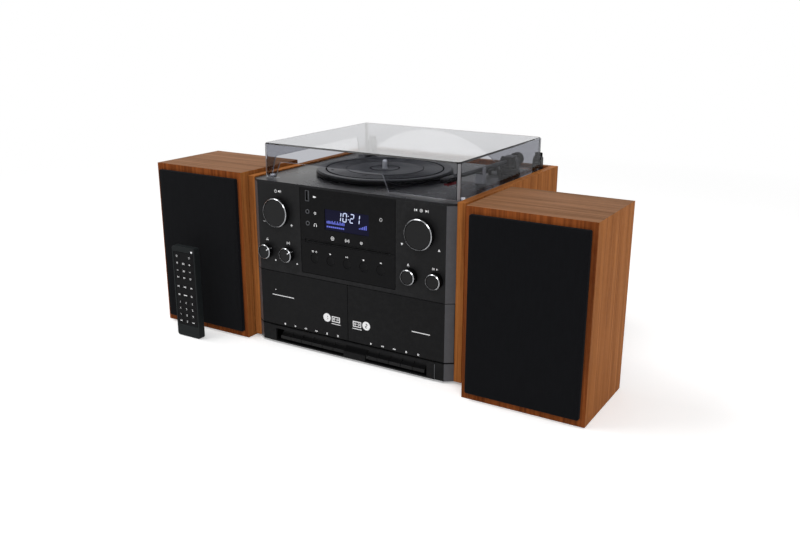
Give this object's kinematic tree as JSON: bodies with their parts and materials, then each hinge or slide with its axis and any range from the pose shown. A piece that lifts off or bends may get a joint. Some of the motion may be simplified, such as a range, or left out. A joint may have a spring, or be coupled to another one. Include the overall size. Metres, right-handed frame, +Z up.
{
  "type": "stereo music centre",
  "caption": "Stereo music centre with turntable under a smoked cover, disc slot, cassette doors with keys, walnut sides, two loudspeakers and a remote control.",
  "frame": {"origin": "on the table under the middle of the main unit's footprint", "axes": "+X to the unit's right seen from the front, +Y to its rear, +Z up"},
  "size_m": [0.6777, 0.3578, 0.2851],
  "materials": {
    "walnut_veneer": "satin walnut veneer",
    "black_plastic": "satin",
    "gloss_black": "gloss",
    "grey_plastic": "satin",
    "white_plastic": "matte",
    "circuit_board": "board",
    "sheet_steel": "zinc grey",
    "steel": "turned",
    "rubber": "matte",
    "smoked_acrylic": "clear smoked",
    "driver_black": "matte",
    "grille_cloth": "stretched cloth"
  },
  "bodies": {
    "main_unit": {"left_side_panel": "walnut_veneer", "right_side_panel": "walnut_veneer", "back_panel": "walnut_veneer", "base_plate": "sheet_steel", "feet": "rubber", "front_panel": "black_plastic", "centre_fascia": "gloss_black", "control_board": "circuit_board", "tape_mechanism": "sheet_steel", "turntable_deck": "grey_plastic", "platter_motor": "sheet_steel", "cover_hinges": "black_plastic", "cd_mechanism": "sheet_steel", "main_board": "circuit_board"},
    "volume_shaft": {"volume_shaft": "steel"},
    "volume_knob": {"volume_knob": "black_plastic"},
    "tuning_shaft": {"tuning_shaft": "steel"},
    "tuning_knob": {"tuning_knob": "black_plastic"},
    "bass_knob": {"bass_knob": "black_plastic"},
    "treble_knob": {"treble_knob": "black_plastic"},
    "eject_button": {"eject_button": "black_plastic"},
    "source_button": {"source_button": "black_plastic"},
    "menu_button": {"menu_button": "gloss_black"},
    "previous_button": {"previous_button": "gloss_black"},
    "play_button": {"play_button": "gloss_black"},
    "stop_button": {"stop_button": "gloss_black"},
    "next_button": {"next_button": "gloss_black"},
    "deck1_door": {"deck1_door": "black_plastic"},
    "deck2_door": {"deck2_door": "black_plastic"},
    "deck1_supply_hub": {"deck1_supply_hub": "white_plastic"},
    "deck1_takeup_hub": {"deck1_takeup_hub": "white_plastic"},
    "deck2_supply_hub": {"deck2_supply_hub": "white_plastic"},
    "deck2_takeup_hub": {"deck2_takeup_hub": "white_plastic"},
    "deck1_record_key": {"deck1_record_key": "black_plastic"},
    "deck1_play_key": {"deck1_play_key": "black_plastic"},
    "deck1_rewind_key": {"deck1_rewind_key": "black_plastic"},
    "deck1_forward_key": {"deck1_forward_key": "black_plastic"},
    "deck1_stop_key": {"deck1_stop_key": "black_plastic"},
    "deck1_pause_key": {"deck1_pause_key": "black_plastic"},
    "deck2_play_key": {"deck2_play_key": "black_plastic"},
    "deck2_rewind_key": {"deck2_rewind_key": "black_plastic"},
    "deck2_forward_key": {"deck2_forward_key": "black_plastic"},
    "deck2_stop_key": {"deck2_stop_key": "black_plastic"},
    "deck2_pause_key": {"deck2_pause_key": "black_plastic"},
    "platter": {"platter": "grey_plastic", "platter_mat": "rubber"},
    "drive_pulley": {"drive_pulley": "steel"},
    "arm_pivot": {"arm_pivot": "grey_plastic"},
    "tonearm": {"tonearm": "black_plastic"},
    "cue_lever": {"cue_lever": "black_plastic"},
    "speed_switch": {"speed_switch": "black_plastic"},
    "dust_cover": {"dust_cover": "smoked_acrylic"},
    "left_speaker": {"left_speaker_cabinet": "walnut_veneer", "left_speaker_drivers": "driver_black", "left_speaker_grille": "grille_cloth"},
    "right_speaker": {"right_speaker_cabinet": "walnut_veneer", "right_speaker_drivers": "driver_black", "right_speaker_grille": "grille_cloth"},
    "remote_case": {"remote_case": "black_plastic"},
    "remote_keypad": {"remote_keypad": "rubber"}
  },
  "joints": [
    {"name": "volume_push", "type": "slide", "parent": "main_unit", "child": "volume_shaft", "axis": [0, 1, 0], "range_m": [0, 0.0008], "stiffness_N_per_m": 600, "springref_m": -0.0006},
    {"name": "volume_turn", "type": "hinge", "parent": "volume_shaft", "child": "volume_knob", "pos_m": [-0.1128, -0.1585, 0.1945], "axis": [0, 1, 0], "continuous": true},
    {"name": "tuning_push", "type": "slide", "parent": "main_unit", "child": "tuning_shaft", "axis": [0, 1, 0], "range_m": [0, 0.0008], "stiffness_N_per_m": 600, "springref_m": -0.0006},
    {"name": "tuning_turn", "type": "hinge", "parent": "tuning_shaft", "child": "tuning_knob", "pos_m": [0.1128, -0.1585, 0.1945], "axis": [0, 1, 0], "continuous": true},
    {"name": "bass_turn", "type": "hinge", "parent": "main_unit", "child": "bass_knob", "pos_m": [-0.1344, -0.1585, 0.1368], "axis": [0, 1, 0], "range_deg": [-210, 90]},
    {"name": "treble_turn", "type": "hinge", "parent": "main_unit", "child": "treble_knob", "pos_m": [-0.0976, -0.1585, 0.1368], "axis": [0, 1, 0], "range_deg": [-210, 90]},
    {"name": "eject_press", "type": "slide", "parent": "main_unit", "child": "eject_button", "axis": [0, 1, 0], "range_m": [0, 0.0015], "stiffness_N_per_m": 400, "springref_m": -0.0008},
    {"name": "source_press", "type": "slide", "parent": "main_unit", "child": "source_button", "axis": [0, 1, 0], "range_m": [0, 0.0015], "stiffness_N_per_m": 400, "springref_m": -0.0008},
    {"name": "menu_press", "type": "slide", "parent": "main_unit", "child": "menu_button", "axis": [0, 1, 0], "range_m": [0, 0.0008], "stiffness_N_per_m": 500, "springref_m": -0.0006},
    {"name": "previous_press", "type": "slide", "parent": "main_unit", "child": "previous_button", "axis": [0, 1, 0], "range_m": [0, 0.0008], "stiffness_N_per_m": 500, "springref_m": -0.0006},
    {"name": "play_press", "type": "slide", "parent": "main_unit", "child": "play_button", "axis": [0, 1, 0], "range_m": [0, 0.0008], "stiffness_N_per_m": 500, "springref_m": -0.0006},
    {"name": "stop_press", "type": "slide", "parent": "main_unit", "child": "stop_button", "axis": [0, 1, 0], "range_m": [0, 0.0008], "stiffness_N_per_m": 500, "springref_m": -0.0006},
    {"name": "next_press", "type": "slide", "parent": "main_unit", "child": "next_button", "axis": [0, 1, 0], "range_m": [0, 0.0008], "stiffness_N_per_m": 500, "springref_m": -0.0006},
    {"name": "deck1_door_open", "type": "hinge", "parent": "main_unit", "child": "deck1_door", "pos_m": [-0.0795, -0.1475, 0.04], "axis": [1, 0, 0], "range_deg": [0, 30]},
    {"name": "deck2_door_open", "type": "hinge", "parent": "main_unit", "child": "deck2_door", "pos_m": [0.0795, -0.1475, 0.04], "axis": [1, 0, 0], "range_deg": [0, 30]},
    {"name": "deck1_supply_spin", "type": "hinge", "parent": "main_unit", "child": "deck1_supply_hub", "pos_m": [-0.10075, -0.1385, 0.0708], "axis": [0, 1, 0], "continuous": true},
    {"name": "deck1_takeup_spin", "type": "hinge", "parent": "main_unit", "child": "deck1_takeup_hub", "pos_m": [-0.05825, -0.1385, 0.0708], "axis": [0, 1, 0], "continuous": true},
    {"name": "deck2_supply_spin", "type": "hinge", "parent": "main_unit", "child": "deck2_supply_hub", "pos_m": [0.05825, -0.1385, 0.0708], "axis": [0, 1, 0], "continuous": true},
    {"name": "deck2_takeup_spin", "type": "hinge", "parent": "main_unit", "child": "deck2_takeup_hub", "pos_m": [0.10075, -0.1385, 0.0708], "axis": [0, 1, 0], "continuous": true},
    {"name": "deck1_record_press", "type": "hinge", "parent": "main_unit", "child": "deck1_record_key", "pos_m": [-0.1084, -0.106, 0.013], "axis": [1, 0, 0], "range_deg": [0, 3.8], "stiffness_Nm_per_rad": 0.25, "springref_deg": -3.44},
    {"name": "deck1_play_press", "type": "hinge", "parent": "main_unit", "child": "deck1_play_key", "pos_m": [-0.0901, -0.106, 0.013], "axis": [1, 0, 0], "range_deg": [0, 3.8], "stiffness_Nm_per_rad": 0.25, "springref_deg": -3.44},
    {"name": "deck1_rewind_press", "type": "hinge", "parent": "main_unit", "child": "deck1_rewind_key", "pos_m": [-0.0718, -0.106, 0.013], "axis": [1, 0, 0], "range_deg": [0, 3.8], "stiffness_Nm_per_rad": 0.25, "springref_deg": -3.44},
    {"name": "deck1_forward_press", "type": "hinge", "parent": "main_unit", "child": "deck1_forward_key", "pos_m": [-0.0535, -0.106, 0.013], "axis": [1, 0, 0], "range_deg": [0, 3.8], "stiffness_Nm_per_rad": 0.25, "springref_deg": -3.44},
    {"name": "deck1_stop_press", "type": "hinge", "parent": "main_unit", "child": "deck1_stop_key", "pos_m": [-0.0352, -0.106, 0.013], "axis": [1, 0, 0], "range_deg": [0, 3.8], "stiffness_Nm_per_rad": 0.25, "springref_deg": -3.44},
    {"name": "deck1_pause_press", "type": "hinge", "parent": "main_unit", "child": "deck1_pause_key", "pos_m": [-0.0169, -0.106, 0.013], "axis": [1, 0, 0], "range_deg": [0, 3.8], "stiffness_Nm_per_rad": 0.25, "springref_deg": -3.44},
    {"name": "deck2_play_press", "type": "hinge", "parent": "main_unit", "child": "deck2_play_key", "pos_m": [0.0372, -0.106, 0.013], "axis": [1, 0, 0], "range_deg": [0, 3.8], "stiffness_Nm_per_rad": 0.25, "springref_deg": -3.44},
    {"name": "deck2_rewind_press", "type": "hinge", "parent": "main_unit", "child": "deck2_rewind_key", "pos_m": [0.0555, -0.106, 0.013], "axis": [1, 0, 0], "range_deg": [0, 3.8], "stiffness_Nm_per_rad": 0.25, "springref_deg": -3.44},
    {"name": "deck2_forward_press", "type": "hinge", "parent": "main_unit", "child": "deck2_forward_key", "pos_m": [0.0738, -0.106, 0.013], "axis": [1, 0, 0], "range_deg": [0, 3.8], "stiffness_Nm_per_rad": 0.25, "springref_deg": -3.44},
    {"name": "deck2_stop_press", "type": "hinge", "parent": "main_unit", "child": "deck2_stop_key", "pos_m": [0.0921, -0.106, 0.013], "axis": [1, 0, 0], "range_deg": [0, 3.8], "stiffness_Nm_per_rad": 0.25, "springref_deg": -3.44},
    {"name": "deck2_pause_press", "type": "hinge", "parent": "main_unit", "child": "deck2_pause_key", "pos_m": [0.1104, -0.106, 0.013], "axis": [1, 0, 0], "range_deg": [0, 3.8], "stiffness_Nm_per_rad": 0.25, "springref_deg": -3.44},
    {"name": "platter_spin", "type": "hinge", "parent": "main_unit", "child": "platter", "pos_m": [-0.024, -0.02, 0.24], "axis": [0, 0, -1], "continuous": true},
    {"name": "pulley_spin", "type": "hinge", "parent": "main_unit", "child": "drive_pulley", "pos_m": [-0.10481, -0.04941, 0.235], "axis": [0, 0, -1], "continuous": true},
    {"name": "arm_swing", "type": "hinge", "parent": "main_unit", "child": "arm_pivot", "pos_m": [0.13, 0.066, 0.244], "axis": [0, 0, -1], "range_deg": [0, 38]},
    {"name": "arm_lift", "type": "hinge", "parent": "arm_pivot", "child": "tonearm", "pos_m": [0.13, 0.066, 0.255], "axis": [-0.9985, 0.0541, 0], "range_deg": [0, 6]},
    {"name": "cue_lever_lift", "type": "hinge", "parent": "main_unit", "child": "cue_lever", "pos_m": [0.12989, 0.064, 0.2414], "axis": [-0.9985, 0.0541, 0], "range_deg": [0, 50]},
    {"name": "speed_select", "type": "slide", "parent": "main_unit", "child": "speed_switch", "axis": [1, 0, 0], "range_m": [-0.005, 0.005]},
    {"name": "cover_open", "type": "hinge", "parent": "main_unit", "child": "dust_cover", "pos_m": [0.005, 0.1235, 0.251], "axis": [-1, 0, 0], "range_deg": [0, 65]},
    {"name": "left_speaker_place", "type": "slide", "parent": "main_unit", "child": "left_speaker", "axis": [-1, 0, 0], "range_m": [0, 0.25]},
    {"name": "right_speaker_place", "type": "slide", "parent": "main_unit", "child": "right_speaker", "axis": [1, 0, 0], "range_m": [0, 0.25]},
    {"name": "remote_lift", "type": "slide", "parent": "main_unit", "child": "remote_case", "axis": [0, 0, 1], "range_m": [0, 0.2]},
    {"name": "remote_keys_press", "type": "slide", "parent": "remote_case", "child": "remote_keypad", "axis": [0, 1, 0], "range_m": [0, 0.0007], "stiffness_N_per_m": 400, "springref_m": -0.0006}
  ],
  "couplings": [
    {"joint": "pulley_spin", "follows": "platter_spin", "ratio": 15.2},
    {"joint": "arm_lift", "follows": "cue_lever_lift", "ratio": 0.1}
  ]
}
